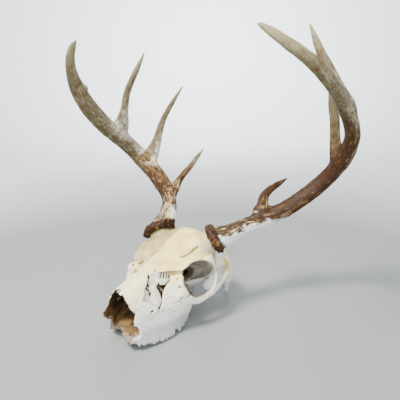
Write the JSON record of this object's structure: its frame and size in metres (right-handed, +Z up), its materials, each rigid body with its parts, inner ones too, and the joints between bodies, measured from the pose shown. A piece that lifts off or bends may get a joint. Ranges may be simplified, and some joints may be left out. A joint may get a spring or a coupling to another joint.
{
  "type": "deer skull",
  "caption": "Upper skull of a white-tailed buck without its lower jaw, the muzzle tip broken away, carrying two branched antlers, as a still display piece.",
  "frame": {"origin": "centre of the bounding box, on the surface the skull rests on", "axes": "+X to the animal's left, across the antlers; +Y from the muzzle to the nape; +Z up"},
  "size_m": [0.382, 0.2686, 0.3494],
  "materials": {
    "bone": "dry, matt, off-white",
    "warm_bone": "dry, matt, cream with tan staining",
    "jaw_bone": "dry, matt, bleached",
    "inner_bone": "dry, matt, tan",
    "antler_dark": "rough, grooved, brown",
    "antler_brown": "grooved, grey-brown",
    "antler_pale": "smooth, grey-tan"
  },
  "bodies": {
    "root": {"antler_base_left": "antler_dark", "antler_base_right": "antler_dark", "antler_brow_tine_left": "antler_dark", "antler_brow_tine_right": "antler_dark", "antler_lower_beam_left": "antler_dark", "antler_lower_beam_right": "antler_dark", "antler_middle_beam_left": "antler_brown", "antler_middle_beam_right": "antler_brown", "antler_second_tine_left": "antler_pale", "antler_second_tine_right": "antler_pale", "antler_third_tine_left": "antler_pale", "antler_third_tine_right": "antler_pale", "antler_upper_beam_left": "antler_pale", "antler_upper_beam_right": "antler_pale", "braincase": "bone", "frontal_left": "warm_bone", "frontal_right": "warm_bone", "lacrimal_left": "bone", "lacrimal_right": "bone", "maxilla_left": "jaw_bone", "maxilla_right": "jaw_bone", "nasal_left": "warm_bone", "nasal_right": "warm_bone", "occipital": "bone", "palate": "warm_bone", "sphenoid": "warm_bone", "turbinates_left": "inner_bone", "turbinates_right": "inner_bone", "vomer": "inner_bone", "zygomatic_left": "bone", "zygomatic_right": "bone"}
  },
  "joints": []
}
